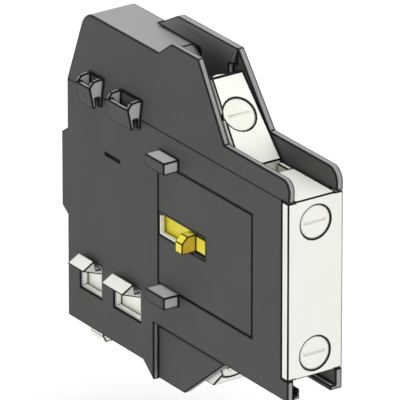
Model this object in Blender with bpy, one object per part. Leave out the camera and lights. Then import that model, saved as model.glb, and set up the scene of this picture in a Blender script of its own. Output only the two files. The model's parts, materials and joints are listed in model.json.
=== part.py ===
"""Side-mounted auxiliary contact block: moulded casing, snap latch, sprung contact carrier, four screw terminals.

World axes: +X runs across the block from its mating side to its outer side, +Y runs to the rear and
+Z runs up. The origin lies on the mating side, on the inset guide plate. The sizes below are metres.
Outlines are written as (depth, height), (across, height) or (across, depth), where depth grows towards
the front from the rear edge of the casing, and height grows from its rear bottom edge.
"""
import math

import bmesh
import bpy
from mathutils import Matrix, Vector

# Casing
BODY_WIDTH = 0.0125
NEAR_WALL = 0.00135
COVER_WALL = 0.0015
SHELL_WALL = 0.0014
CLEARANCE = 0.0003
TOP_HEIGHT = 0.0639
CREASE_HEIGHT = 0.0496
LEAN_REACH = 0.0026
FRONT_DEPTH = 0.0746
REAR_RIB_REACH = 0.0020
REAR_RIB_LOW = 0.0225
REAR_RIB_HIGH = 0.0379
REAR_RIB_CHAMFER = 0.0014
TOP_SETBACK = 0.0029
TOP_RADIUS = 0.0031
TOP_END_CHAMFER = 0.0028

# Rims beside the rear terminals and ears beside the front terminals
NEAR_RIM_RISE = 0.00285
NEAR_RIM_LENGTH = 0.0127
NEAR_RAMP = 0.0036
RAMP_RADIUS = 0.0020
NEAR_RIM_SETBACK = 0.0027
EAR_LENGTH = 0.0221
NEAR_EAR_HEIGHT = 0.0536
EAR_RADIUS = 0.0028
FAR_RIM_START = 0.0158
FAR_RAMP = 0.0060
FAR_RIM_RISE = 0.0034
FAR_RIM_SETBACK = 0.0017
FAR_RIM_FOOT = 0.0012
FAR_RIM_FACET = 0.0042
FAR_EAR_HEIGHT = 0.0540

# Front cut-back, lower flanges and skirt
COVER_FOOT = 0.0132
COVER_WRAP = 0.0022
FLANGE_FOOT = 0.0090
LIP_REACH = 0.0015
LIP_THICKNESS = 0.0009
LIP_UPTURN = 0.0013
LIP_LENGTH = 0.0186
SKIRT_STEP = 0.0010
TOOTH_LENGTH = 0.0037
TOOTH_DROP = 0.0031
SKIRT_DROP = 0.0029
SKIRT_SETBACK = 0.0214
SKIRT_SLOPE = 0.0149

# Guide plate, actuator window and the two square lugs
PANEL_LENGTH = 0.0312
PANEL_SETBACK = 0.0120
PANEL_LOW = 0.0181
PANEL_HIGH = 0.04315
PANEL_SEAM = 0.0002
PANEL_FLANGE = 0.0012
FLANGE_THICKNESS = 0.0008
WINDOW_LENGTH = 0.0159
WINDOW_LOW = 0.02805
WINDOW_HIGH = 0.03295
COLLAR_WALL = 0.00025
COLLAR_RECESS = 0.00025
LUG_INSET = 0.0004
LUG_LENGTH = 0.0064
LUG_REACH = 0.00345
LUG_HEIGHT = 0.0025
LUG_GAP = 0.00015
SCORE_REAR = 0.0131
SCORE_LENGTH = 0.0050
SCORE_HEIGHT = 0.0384
SCORE_WIDTH = 0.0004

# Fixed hooks on the crease
HOOK_REAR = (0.00705, 0.0176)
HOOK_LENGTH = (0.00505, 0.0076)
HOOK_REACH = 0.0029
HOOK_TOP = 0.0533
HOOK_SHOULDER = 0.0521
HOOK_FOOT = 0.0476
HOOK_LIP = 0.0007
HOOK_CHEEK = 0.0009

# Latch windows, latch guide and latch slider
LATCH_WINDOW_REAR_SHARE = (0.0563, 0.2131)
LATCH_WINDOW_LENGTH_SHARE = (0.1005, 0.1247)
LATCH_WINDOW_LOW = 0.0073
LATCH_WINDOW_HIGH = 0.0141
GUIDE_SHEET = 0.00045
GUIDE_MARGIN = 0.0016
LATCH_PLATE = 0.0013
LATCH_LOW = 0.0036
LATCH_HIGH = 0.0165
LATCH_HOOK_PLAY = 0.0021
LATCH_HOOK_REACH = 0.0037
LATCH_HOOK_TIP = 0.0136
LATCH_HOOK_BARB = 0.0152
LATCH_STEM_HIGH = 0.0132
LATCH_STEM_LOW = 0.0113
TAB_INSET = 0.0009
TAB_LENGTH = 0.0044
TAB_ACROSS = 0.0031
TAB_DROP = 0.0032
LATCH_TRAVEL = 0.0018

# Contact carrier and its bridges
CARRIER_PLATE = 0.0014
CARRIER_OVERLAP = 0.0006
CARRIER_LENGTH = 0.0227
CARRIER_MID = 0.0305
CARRIER_PLATE_HEIGHT = 0.0064
BAR_INSET = 0.0016
BAR_LENGTH = 0.0216
BAR_HEIGHT = 0.0058
BAR_HALF_WIDTH = 0.0030
NUB_SETBACK = 0.0063
NUB_LENGTH = 0.0023
NUB_REACH = 0.0027
NUB_LOW = 0.02865
NUB_HIGH = 0.0321
NUB_CHAMFER = 0.0013
NUB_PAD_LENGTH = 0.0033
NUB_PAD_DEEP = 0.0005
CARRIER_TRAVEL = 0.0050
BRIDGE_INSET = (0.0056, 0.0176)
BRIDGE_THICKNESS = 0.0006
BRIDGE_WIDTH = 0.0030
BRIDGE_HALF_SPAN = 0.0064
BUTTON_RADIUS = 0.0011
BUTTON_HEIGHT = 0.0005
BRIDGE_TRAVEL = 0.0010
POCKET_LENGTH = 0.0048

# Springs
RETURN_SEAT = 0.0150
RETURN_RADIUS = 0.0018
RETURN_WIRE = 0.00045
RETURN_TURNS = 6
CONTACT_RADIUS = 0.0011
CONTACT_WIRE = 0.0003
CONTACT_TURNS = 4
LATCH_SPRING_SETBACK = 0.0024
LATCH_SPRING_RADIUS = 0.0014
LATCH_WIRE = 0.0004
LATCH_TURNS = 5
BOSS_TOP = 0.0053

# Terminals
TERMINAL_MIDDLE = 0.0314
SLOPE_RUN = 0.0132
SLOPE_SETBACK = 0.0178
SLOPE_FOOT_RISE = 0.0004
REAR_SCREW_ALONG = 0.0086
FRONT_SCREW_HEIGHT = (0.0445, 0.0177)
FRONT_BLOCK_LENGTH = 0.0136
FRONT_TONGUE_LOW = 0.0438
FRAME_BLOCK_LENGTH = 0.0027
FRAME_TOP_DROP = 0.0004
FRAME_FOOT_RISE = 0.0016
FRAME_TOP_RISE = 0.0008
FRAME_BLOCK_LOW = 0.0465
FRAME_STRIP = 0.0007
FRAME_WEB = 0.0011
NECK_WALL = 0.0005
SHANK_END = 0.0010
LOWER_PIT_TOP = 0.0132
CONTACT_OVERLAP = 0.0044
HEAD_RADIUS = 0.00325
HEAD_THICKNESS = 0.0015
HEAD_RECESS = 0.0002
SLOT_WIDTH = 0.0006
SLOT_DEPTH = 0.0004
SHANK_RADIUS = 0.0013
CLAMP_SIZE = 0.0054
CLAMP_THICKNESS = 0.0008
CLAMP_TRAVEL = 0.0012
STRIP_THICKNESS = 0.0008
STRIP_WIDTH = 0.0040
FRONT_RUN_SHARE = 0.62
RUN_GAP = 0.0018
ARC_STEPS = 5
ROUND_STEPS = 24

# Places that follow from the sizes above
FAR_FACE = BODY_WIDTH - COVER_WALL
INNER_SIDE = FAR_FACE - CLEARANCE
CENTRE = BODY_WIDTH / 2
CORE_NEAR = NEAR_WALL + CLEARANCE
LATCH_NEAR = NEAR_WALL + GUIDE_SHEET
CUT_BACK = FRONT_DEPTH - COVER_WRAP
NEAR_RIM_HEIGHT = TOP_HEIGHT + NEAR_RIM_RISE
FAR_RIM_HEIGHT = TOP_HEIGHT + FAR_RIM_RISE
SLOPE_FOOT_HEIGHT = CREASE_HEIGHT + SLOPE_FOOT_RISE
FRAME_BLOCK_TOP = TOP_HEIGHT - FRAME_TOP_DROP
FRAME_BLOCK_FOOT = 2 * TERMINAL_MIDDLE - FRAME_BLOCK_TOP + FRAME_FOOT_RISE
LOWEST = -2 * TOOTH_DROP
EAR_REAR_DEPTH = FRONT_DEPTH - EAR_LENGTH
LIP_REAR_DEPTH = FRONT_DEPTH - LIP_LENGTH
SKIRT_FRONT_HIGH = FRONT_DEPTH - SKIRT_SETBACK
SKIRT_FRONT_LOW = SKIRT_FRONT_HIGH - SKIRT_SLOPE
FRONT_BLOCK_REAR = FRONT_DEPTH - FRONT_BLOCK_LENGTH
SLOPE_FOOT_DEPTH = FRONT_DEPTH - SLOPE_SETBACK
SLOPE_TOP_DEPTH = SLOPE_FOOT_DEPTH - SLOPE_RUN
FRAME_BLOCK_REAR = SLOPE_TOP_DEPTH - FRAME_BLOCK_LENGTH
NEAR_RIM_END = SLOPE_TOP_DEPTH - NEAR_RIM_SETBACK
FAR_RIM_END = SLOPE_TOP_DEPTH - FAR_RIM_SETBACK
TOP_END_DEPTH = NEAR_RIM_END - NEAR_RIM_LENGTH
LATCH_WINDOW_REAR = tuple(FRONT_DEPTH * share for share in LATCH_WINDOW_REAR_SHARE)
LATCH_WINDOW_LENGTH = tuple(FRONT_DEPTH * share for share in LATCH_WINDOW_LENGTH_SHARE)
LATCH_HOOK_LENGTH = tuple(length - LATCH_HOOK_PLAY for length in LATCH_WINDOW_LENGTH)
LATCH_END = LATCH_WINDOW_REAR[1] + LATCH_WINDOW_LENGTH[1] + GUIDE_MARGIN
LATCH_SPRING_DEPTH = LATCH_WINDOW_REAR[1] - LATCH_SPRING_SETBACK
TAB_REAR = LATCH_WINDOW_REAR[0] + TAB_INSET
LOWER_PIT_REAR = LATCH_END + CLEARANCE + SHELL_WALL
SKIRT_DEPTH = LOWER_PIT_REAR + SKIRT_STEP
TOOTH_DEPTH = SKIRT_DEPTH - TOOTH_LENGTH
PANEL_FRONT = FRONT_DEPTH - PANEL_SETBACK
PANEL_REAR = PANEL_FRONT - PANEL_LENGTH
WINDOW_FRONT = PANEL_REAR + WINDOW_LENGTH
LUG_REAR = PANEL_REAR + LUG_INSET
CARRIER_REAR = PANEL_REAR - CARRIER_OVERLAP
CARRIER_FRONT = CARRIER_REAR + CARRIER_LENGTH
BAR_REAR = PANEL_REAR + BAR_INSET
BAR_FRONT = BAR_REAR + BAR_LENGTH
NUB_REAR = WINDOW_FRONT - NUB_SETBACK
BRIDGE_DEPTH = tuple(PANEL_REAR + inset for inset in BRIDGE_INSET)
CONTACT_END = CARRIER_MID + CONTACT_OVERLAP
FRONT_CLAMP_LOW = FRONT_SCREW_HEIGHT[0] - CLAMP_SIZE / 2
FRONT_RUN_HEIGHT = CONTACT_END + FRONT_RUN_SHARE * (FRONT_CLAMP_LOW - CONTACT_END)
REAR_RUN_HEIGHT = FRONT_RUN_HEIGHT + RUN_GAP
REFERENCE_DEPTH = (WINDOW_FRONT + PANEL_FRONT) / 2
REFERENCE_HEIGHT = (PANEL_LOW + PANEL_HIGH) / 2
OVERRUN = 0.002
WELD_DISTANCE = 1e-7
STEP_IN = 0.0001

DARK = ("dark_moulding", (0.088, 0.088, 0.084), 0.5, 0.0)
CREAM = ("cream_moulding", (0.86, 0.87, 0.82), 0.4, 0.0)
WHITE = ("white_moulding", (0.90, 0.91, 0.87), 0.4, 0.0)
YELLOW = ("yellow_moulding", (0.83, 0.72, 0.06), 0.4, 0.0)
ZINC = ("zinc_steel", (0.80, 0.80, 0.78), 0.35, 0.9)
BRASS = ("contact_brass", (0.75, 0.60, 0.32), 0.35, 0.9)
SPRING = ("spring_steel", (0.55, 0.55, 0.56), 0.3, 1.0)


def clear_scene():
    """Remove every object, so that the script can be run again in an open file."""
    for existing in list(bpy.data.objects):
        bpy.data.objects.remove(existing, do_unlink=True)


def new_collection(name):
    """Make a collection in the scene."""
    collection = bpy.data.collections.new(name)
    bpy.context.scene.collection.children.link(collection)
    return collection


def new_material(finish):
    """Make or find the Principled material of a finish."""
    name, colour, roughness, metallic = finish
    material = bpy.data.materials.get(name) or bpy.data.materials.new(name)
    material.use_nodes = True
    shader = material.node_tree.nodes["Principled BSDF"]
    shader.inputs["Base Color"].default_value = (*colour, 1.0)
    shader.inputs["Roughness"].default_value = roughness
    shader.inputs["Metallic"].default_value = metallic
    return material


def spot(across, depth, height):
    """Give the world point of a place in the casing's own measures."""
    return Vector((across, REFERENCE_DEPTH - depth, height - REFERENCE_HEIGHT))


def place_object(name, mesh, collection):
    """Put a mesh into a collection as an object."""
    thing = bpy.data.objects.new(name, mesh)
    collection.objects.link(thing)
    return thing


def tidy_mesh(mesh):
    """Weld a mesh's seams and turn its faces outwards."""
    shape = bmesh.new()
    shape.from_mesh(mesh)
    bmesh.ops.remove_doubles(shape, verts=shape.verts, dist=WELD_DISTANCE)
    bmesh.ops.recalc_face_normals(shape, faces=shape.faces)
    shape.to_mesh(mesh)
    shape.free()


def rounded(corners):
    """Turn corners, some of which state a radius, into an outline whose round corners are arcs."""
    outline = []
    for index, corner in enumerate(corners):
        point = Vector(corner[:2])
        if len(corner) == 2:
            outline.append(tuple(point))
            continue
        radius = corner[2]
        before = (Vector(corners[index - 1][:2]) - point).normalized()
        after = (Vector(corners[(index + 1) % len(corners)][:2]) - point).normalized()
        half = before.angle(after) / 2
        centre = point + (before + after).normalized() * radius / math.sin(half)
        start = point + before * radius / math.tan(half) - centre
        turn = math.copysign(math.pi - 2 * half, before.x * after.y - before.y * after.x) * -1
        for step in range(ARC_STEPS + 1):
            outline.append(tuple(centre + Matrix.Rotation(turn * step / ARC_STEPS, 2) @ start))
    return outline


def plate(name, outline, thickness, matrix):
    """Extrude a closed outline by a thickness, half to each side of its plane."""
    curve = bpy.data.curves.new(name, "CURVE")
    curve.dimensions = "2D"
    curve.fill_mode = "BOTH"
    curve.extrude = thickness / 2
    spline = curve.splines.new("POLY")
    spline.points.add(len(outline) - 1)
    for point, place in zip(spline.points, outline):
        point.co = (place[0], place[1], 0.0, 1.0)
    spline.use_cyclic_u = True
    drawn = place_object(name + "_outline", curve, CUTTERS)
    drawn.matrix_world = matrix
    return as_mesh(name, drawn)


def as_mesh(name, drawn):
    """Replace a curve object by a welded mesh object in world space."""
    bpy.context.view_layer.update()
    depsgraph = bpy.context.evaluated_depsgraph_get()
    mesh = bpy.data.meshes.new_from_object(drawn.evaluated_get(depsgraph))
    mesh.name = name
    mesh.transform(drawn.matrix_world)
    tidy_mesh(mesh)
    curve = drawn.data
    bpy.data.objects.remove(drawn, do_unlink=True)
    bpy.data.curves.remove(curve)
    return place_object(name, mesh, CUTTERS)


def side_plate(name, outline, near, far):
    """Extrude a (depth, height) outline across the block."""
    middle = spot((near + far) / 2, 0.0, 0.0)
    turn = Matrix(((0, 0, -1), (-1, 0, 0), (0, 1, 0))).to_4x4()
    return plate(name, outline, far - near, Matrix.Translation(middle) @ turn)


def front_plate(name, outline, rear, front):
    """Extrude an (across, height) outline along the depth."""
    middle = spot(0.0, (rear + front) / 2, 0.0)
    turn = Matrix(((1, 0, 0), (0, 0, -1), (0, 1, 0))).to_4x4()
    return plate(name, outline, front - rear, Matrix.Translation(middle) @ turn)


def block(name, across, depth, height):
    """Make a box from its low and high limits in each direction."""
    mesh = bpy.data.meshes.new(name)
    shape = bmesh.new()
    bmesh.ops.create_cube(shape, size=1.0)
    low = spot(across[0], depth[1], height[0])
    high = spot(across[1], depth[0], height[1])
    bmesh.ops.scale(shape, vec=high - low, verts=shape.verts)
    bmesh.ops.translate(shape, vec=(high + low) / 2, verts=shape.verts)
    shape.to_mesh(mesh)
    shape.free()
    tidy_mesh(mesh)
    return place_object(name, mesh, CUTTERS)


def hull(name, corners):
    """Make the smallest convex solid round some (across, depth, height) corners."""
    mesh = bpy.data.meshes.new(name)
    shape = bmesh.new()
    for corner in corners:
        shape.verts.new(spot(*corner))
    bmesh.ops.convex_hull(shape, input=shape.verts)
    shape.to_mesh(mesh)
    shape.free()
    tidy_mesh(mesh)
    return place_object(name, mesh, CUTTERS)


def rod(name, start, end, radius, end_radius=None, sides=ROUND_STEPS):
    """Make a round or tapered bar between two world points."""
    mesh = bpy.data.meshes.new(name)
    shape = bmesh.new()
    reach = end - start
    bmesh.ops.create_cone(
        shape, cap_ends=True, segments=sides, radius1=radius,
        radius2=radius if end_radius is None else end_radius, depth=reach.length)
    turn = Vector((0, 0, 1)).rotation_difference(reach).to_matrix().to_4x4()
    bmesh.ops.transform(
        shape, matrix=Matrix.Translation((start + end) / 2) @ turn, verts=shape.verts)
    shape.to_mesh(mesh)
    shape.free()
    tidy_mesh(mesh)
    return place_object(name, mesh, CUTTERS)


def coil(name, start, end, radius, wire, turns):
    """Wind a round wire spring between two world points."""
    curve = bpy.data.curves.new(name, "CURVE")
    curve.dimensions = "3D"
    curve.bevel_depth = wire / 2
    curve.bevel_resolution = 2
    curve.use_fill_caps = True
    steps = turns * 12
    spline = curve.splines.new("POLY")
    spline.points.add(steps)
    reach = end - start
    turn = Vector((0, 0, 1)).rotation_difference(reach)
    length = reach.length - wire
    for index, point in enumerate(spline.points):
        share = index / steps
        angle = 2 * math.pi * turns * share
        local = Vector((radius * math.cos(angle), radius * math.sin(angle), wire / 2 + length * share))
        point.co = (*(start + turn @ local), 1.0)
    drawn = place_object(name + "_path", curve, CUTTERS)
    return as_mesh(name, drawn)


def combine(target, tool, operation):
    """Join a tool to a solid, cut it away or keep what both share, and drop the tool."""
    modifier = target.modifiers.new(operation.lower(), "BOOLEAN")
    modifier.operation = operation
    modifier.solver = "EXACT"
    modifier.object = tool
    tool.hide_render = True
    tool.display_type = "WIRE"
    bpy.context.view_layer.update()
    depsgraph = bpy.context.evaluated_depsgraph_get()
    mesh = bpy.data.meshes.new_from_object(target.evaluated_get(depsgraph))
    target.modifiers.clear()
    old = target.data
    target.data = mesh
    bpy.data.meshes.remove(old)
    bpy.data.objects.remove(tool, do_unlink=True)
    tidy_mesh(mesh)
    return target


def join(target, *tools):
    """Fuse solids into one."""
    for tool in tools:
        combine(target, tool, "UNION")
    return target


def cut(target, *tools):
    """Cut solids out of one."""
    for tool in tools:
        combine(target, tool, "DIFFERENCE")
    return target


def finish_piece(target, name, finish, pivot=None, smooth=False):
    """Name a finished solid, give it its material and set its origin."""
    target.name = name
    target.data.name = name
    target.data.materials.clear()
    target.data.materials.append(new_material(finish))
    if smooth:
        target.data.shade_smooth()
        target.data.set_sharp_from_angle(angle=math.radians(35))
    if pivot is not None:
        target.data.transform(Matrix.Translation(-pivot))
        target.location = pivot
    CUTTERS.objects.unlink(target)
    PIECES.objects.link(target)
    return target


def lean_at(height):
    """Give how far the upper casing leans in at a height."""
    return LEAN_REACH * (height - CREASE_HEIGHT) / (NEAR_RIM_HEIGHT - CREASE_HEIGHT)


def flipped(outline, upper):
    """Mirror a (depth, height) outline to the lower terminals."""
    if upper:
        return outline
    return [(depth, 2 * TERMINAL_MIDDLE - height) for depth, height in outline]


def ribbon(path, thickness):
    """Outline a bent strip of even thickness along a (depth, height) path."""
    points = [Vector(place) for place in path]
    sides = ([], [])
    for index, point in enumerate(points):
        before = point - points[index - 1] if index > 0 else points[1] - point
        after = points[index + 1] - point if index < len(points) - 1 else before
        normals = [Vector((-run.normalized().y, run.normalized().x)) for run in (before, after)]
        mitre = (normals[0] + normals[1]).normalized()
        offset = mitre * thickness / 2 / mitre.dot(normals[0])
        sides[0].append(tuple(point + offset))
        sides[1].append(tuple(point - offset))
    return sides[0] + sides[1][::-1]


def rear_outline():
    """Outline the back of the casing from its bottom corner up to the front end of its top."""
    low = REAR_RIB_LOW - REAR_RIB_CHAMFER
    high = REAR_RIB_HIGH + REAR_RIB_CHAMFER
    return [
        (0.0, 0.0),
        (0.0, low),
        (-REAR_RIB_REACH, REAR_RIB_LOW),
        (-REAR_RIB_REACH, REAR_RIB_HIGH),
        (0.0, high),
        (0.0, CREASE_HEIGHT),
        (TOP_SETBACK, TOP_HEIGHT, TOP_RADIUS),
    ]


def front_outline(ear_height):
    """Outline the front of a side wall from its ear down to the end of its lower flange."""
    return [
        (EAR_REAR_DEPTH, ear_height),
        (FRONT_DEPTH, ear_height, EAR_RADIUS),
        (FRONT_DEPTH, CREASE_HEIGHT),
        (CUT_BACK, CREASE_HEIGHT),
        (CUT_BACK, COVER_FOOT),
        (FRONT_DEPTH, COVER_FOOT),
        (FRONT_DEPTH, FLANGE_FOOT),
    ]


def near_wall_outline():
    """Outline the mating side wall."""
    top = [
        (TOP_END_DEPTH, TOP_HEIGHT),
        (TOP_END_DEPTH + NEAR_RAMP, NEAR_RIM_HEIGHT, RAMP_RADIUS),
        (NEAR_RIM_END, NEAR_RIM_HEIGHT),
    ]
    foot = [(SKIRT_DEPTH, FLANGE_FOOT), (SKIRT_DEPTH, -TOOTH_DROP), (TOOTH_DEPTH, 0.0)]
    return rounded(rear_outline() + top + front_outline(NEAR_EAR_HEIGHT) + foot)


def far_wall_outline():
    """Outline the outer side wall."""
    top = [
        (FAR_RIM_START, TOP_HEIGHT),
        (FAR_RIM_START + FAR_RAMP, FAR_RIM_HEIGHT, RAMP_RADIUS),
        (FAR_RIM_END, FAR_RIM_HEIGHT),
    ]
    foot = [
        (SKIRT_FRONT_HIGH, FLANGE_FOOT),
        (SKIRT_FRONT_LOW, -SKIRT_DROP),
        (SKIRT_DEPTH, -SKIRT_DROP),
        (TOOTH_DEPTH, 0.0),
    ]
    return rounded(rear_outline() + top + front_outline(FAR_EAR_HEIGHT) + foot)


def cavity_outline():
    """Outline what is cut from behind the mating wall: the inside, the wire pits and all in front."""
    t = SHELL_WALL
    high = NEAR_RIM_HEIGHT + OVERRUN
    pit_rear = TOP_END_DEPTH + TOP_END_CHAMFER
    floor_end = FRAME_BLOCK_REAR - t
    return rounded([
        (TOOTH_DEPTH, LOWEST),
        (TOOTH_DEPTH, 0.0),
        (LOWER_PIT_REAR, 0.0),
        (LOWER_PIT_REAR, LOWER_PIT_TOP),
        (floor_end, LOWER_PIT_TOP),
        (floor_end, LOWER_PIT_TOP + t),
        (LOWER_PIT_REAR - t, LOWER_PIT_TOP + t),
        (LOWER_PIT_REAR - t, t),
        (t, t),
        (t, REAR_RIB_LOW - REAR_RIB_CHAMFER),
        (t - REAR_RIB_REACH, REAR_RIB_LOW),
        (t - REAR_RIB_REACH, REAR_RIB_HIGH),
        (t, REAR_RIB_HIGH + REAR_RIB_CHAMFER),
        (t, CREASE_HEIGHT),
        (TOP_SETBACK + t, TOP_HEIGHT - t, TOP_RADIUS - t),
        (pit_rear - t, TOP_HEIGHT - t),
        (pit_rear - t, CREASE_HEIGHT - t),
        (floor_end, CREASE_HEIGHT - t),
        (floor_end, CREASE_HEIGHT),
        (pit_rear, CREASE_HEIGHT),
        (pit_rear, TOP_HEIGHT - TOP_END_CHAMFER * 0.8),
        (TOP_END_DEPTH, TOP_HEIGHT),
        (TOP_END_DEPTH, high),
        (FRONT_DEPTH + OVERRUN, high),
        (FRONT_DEPTH + OVERRUN, LOWEST),
    ])


def window_limits(index, inset=0.0):
    """Give the depth and height limits of a latch window, less an inset all round."""
    rear = LATCH_WINDOW_REAR[index]
    depth = (rear + inset, rear + LATCH_WINDOW_LENGTH[index] - inset)
    return depth, (LATCH_WINDOW_LOW + inset, LATCH_WINDOW_HIGH - inset)


def guide_limits(inset=0.0):
    """Give the depth and height limits of the latch guide's sheet, less an inset all round."""
    depth = (
        LATCH_WINDOW_REAR[0] - GUIDE_MARGIN + inset,
        LATCH_WINDOW_REAR[1] + LATCH_WINDOW_LENGTH[1] + GUIDE_MARGIN - inset,
    )
    return depth, (LATCH_WINDOW_LOW - GUIDE_MARGIN + inset, LATCH_WINDOW_HIGH + GUIDE_MARGIN - inset)


def fixed_hook(index):
    """Make one of the two scoop-shaped hooks that grip the edge of the contactor's case."""
    rear = HOOK_REAR[index]
    front = rear + HOOK_LENGTH[index]
    slot_top = CREASE_HEIGHT + HOOK_LIP * 0.3
    leg = HOOK_LIP
    outline = [
        (NEAR_WALL * 0.7, HOOK_TOP - HOOK_LIP * 0.4),
        (lean_at(HOOK_TOP) - HOOK_LIP, HOOK_TOP + HOOK_LIP * 0.3),
        (-HOOK_REACH * 0.68, HOOK_TOP),
        (-HOOK_REACH, HOOK_SHOULDER),
        (-HOOK_REACH * 0.68, HOOK_FOOT),
        (-HOOK_REACH * 0.68 + leg, HOOK_FOOT + leg * 0.4),
        (-HOOK_REACH + 1.9 * leg, slot_top),
        (-leg, slot_top),
        (-leg, HOOK_FOOT + leg * 0.3),
        (NEAR_WALL * 0.7, HOOK_FOOT + leg * 0.3),
    ]
    hook = front_plate("hook", outline, rear, front)
    pocket = front_plate(
        "pocket",
        [
            (-HOOK_REACH + 1.3 * leg, HOOK_SHOULDER + leg),
            (-HOOK_REACH + 1.9 * leg, slot_top + leg),
            (lean_at(HOOK_SHOULDER) - CLEARANCE, slot_top + leg),
            (lean_at(HOOK_TOP) - CLEARANCE, HOOK_TOP + OVERRUN),
            (-HOOK_REACH + 1.3 * leg, HOOK_TOP + OVERRUN),
        ],
        rear + HOOK_CHEEK,
        front - HOOK_CHEEK,
    )
    rim = block(
        "rim",
        (-HOOK_REACH - OVERRUN, -HOOK_REACH + 1.6 * leg),
        (rear + HOOK_CHEEK, front - HOOK_CHEEK),
        (HOOK_SHOULDER, HOOK_TOP + OVERRUN),
    )
    return cut(hook, pocket, rim)


def main_housing():
    """Make the dark shell with the mating side, the bottom, rear and top walls and the skirt."""
    high = NEAR_RIM_HEIGHT + OVERRUN
    span = (-REAR_RIB_REACH - OVERRUN, FRONT_DEPTH + OVERRUN)
    housing = side_plate("main_housing", near_wall_outline(), -OVERRUN, INNER_SIDE)
    outside = [
        (-2 * OVERRUN, LOWEST),
        (0.0, LOWEST),
        (0.0, CREASE_HEIGHT),
        (lean_at(high), high),
        (-2 * OVERRUN, high),
    ]
    cut(housing, front_plate("outside", outside, *span))
    cavity = side_plate("cavity", cavity_outline(), 0.0, INNER_SIDE + OVERRUN)
    behind_wall = [
        (NEAR_WALL, 2 * LOWEST),
        (INNER_SIDE + 2 * OVERRUN, 2 * LOWEST),
        (INNER_SIDE + 2 * OVERRUN, high + OVERRUN),
        (NEAR_WALL + lean_at(high + OVERRUN), high + OVERRUN),
        (NEAR_WALL, CREASE_HEIGHT),
    ]
    combine(cavity, front_plate("behind_wall", behind_wall, span[0] - OVERRUN, span[1] + OVERRUN), "INTERSECT")
    cut(housing, cavity)
    reach = NEAR_WALL * SKIRT_SLOPE / (FLANGE_FOOT + SKIRT_DROP)
    skirt = side_plate(
        "skirt",
        [
            (SKIRT_DEPTH - 2 * NEAR_WALL, FLANGE_FOOT + NEAR_WALL),
            (SKIRT_DEPTH - 2 * NEAR_WALL, -TOOTH_DROP + 2 * NEAR_WALL),
            (SKIRT_DEPTH - STEP_IN, -SKIRT_DROP),
            (SKIRT_FRONT_LOW, -SKIRT_DROP),
            (SKIRT_FRONT_HIGH + reach, FLANGE_FOOT + NEAR_WALL),
        ],
        NEAR_WALL * 0.9,
        2 * NEAR_WALL,
    )
    lip_end = NEAR_WALL + LIP_REACH
    lip = front_plate(
        "lip",
        [
            (NEAR_WALL / 2, FLANGE_FOOT + STEP_IN),
            (lip_end, FLANGE_FOOT + STEP_IN),
            (lip_end, FLANGE_FOOT + LIP_THICKNESS + LIP_UPTURN),
            (lip_end - LIP_THICKNESS * 0.7, FLANGE_FOOT + LIP_THICKNESS + LIP_UPTURN),
            (lip_end - LIP_THICKNESS * 0.7, FLANGE_FOOT + LIP_THICKNESS),
            (NEAR_WALL / 2, FLANGE_FOOT + LIP_THICKNESS),
        ],
        LIP_REAR_DEPTH,
        FRONT_DEPTH - STEP_IN,
    )
    top_band = side_plate("top_band", top_band_outline(), INNER_SIDE - SHELL_WALL, BODY_WIDTH)
    join(housing, skirt, lip, top_band)
    for height in (PANEL_HIGH + LUG_GAP, PANEL_LOW - LUG_GAP - LUG_HEIGHT):
        lug = block(
            "lug",
            (-LUG_REACH, NEAR_WALL / 2),
            (LUG_REAR, LUG_REAR + LUG_LENGTH),
            (height, height + LUG_HEIGHT),
        )
        join(housing, lug)
    for index in range(2):
        join(housing, fixed_hook(index))
    for wall in (TAB_REAR - 2 * CLEARANCE, TAB_REAR + TAB_LENGTH + CLEARANCE):
        rib = block(
            "rib",
            (LATCH_NEAR + CLEARANCE + LATCH_PLATE + CLEARANCE, INNER_SIDE - OVERRUN),
            (wall - SHELL_WALL if wall < TAB_REAR else wall + CLEARANCE,
             wall - CLEARANCE if wall < TAB_REAR else wall + CLEARANCE + SHELL_WALL),
            (SHELL_WALL / 2, LATCH_LOW + OVERRUN),
        )
        join(housing, rib)
    spring_boss = rod(
        "spring_boss",
        spot(latch_spring_across(), LATCH_SPRING_DEPTH, SHELL_WALL / 2),
        spot(latch_spring_across(), LATCH_SPRING_DEPTH, BOSS_TOP),
        LATCH_SPRING_RADIUS + LATCH_WIRE,
    )
    seat = block(
        "seat",
        (NEAR_WALL / 2, INNER_SIDE - CLEARANCE),
        (RETURN_SEAT - SHELL_WALL, RETURN_SEAT),
        (CARRIER_MID - 2 * RETURN_RADIUS, CARRIER_MID + 2 * RETURN_RADIUS),
    )
    join(housing, spring_boss, seat)
    for index in range(2):
        depth, height = window_limits(index)
        cut(housing, block("latch_window", (-OVERRUN, NEAR_WALL + OVERRUN), depth, height))
    depth, height = guide_limits()
    cut(housing, block("guide_pocket", (NEAR_WALL / 2, NEAR_WALL + CLEARANCE / 2), depth, height))
    panel = block(
        "panel_opening",
        (-OVERRUN / 2, NEAR_WALL + OVERRUN / 2),
        (PANEL_REAR - PANEL_SEAM, PANEL_FRONT + PANEL_SEAM),
        (PANEL_LOW - PANEL_SEAM, PANEL_HIGH + PANEL_SEAM),
    )
    score = block(
        "score",
        (-OVERRUN, SCORE_WIDTH),
        (SCORE_REAR, SCORE_REAR + SCORE_LENGTH),
        (SCORE_HEIGHT - SCORE_WIDTH / 2, SCORE_HEIGHT + SCORE_WIDTH / 2),
    )
    tab_slot = block(
        "tab_slot",
        (LATCH_NEAR, LATCH_NEAR + TAB_ACROSS + 3 * CLEARANCE),
        (TAB_REAR - CLEARANCE, TAB_REAR + TAB_LENGTH + CLEARANCE),
        (-OVERRUN, SHELL_WALL + OVERRUN / 4),
    )
    cut(housing, panel, score, tab_slot)
    return finish_piece(housing, "main_housing", DARK)


def latch_spring_across():
    """Give the latch spring's place across the block."""
    return LATCH_NEAR + 2 * CLEARANCE + LATCH_PLATE + LATCH_SPRING_RADIUS + LATCH_WIRE


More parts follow.
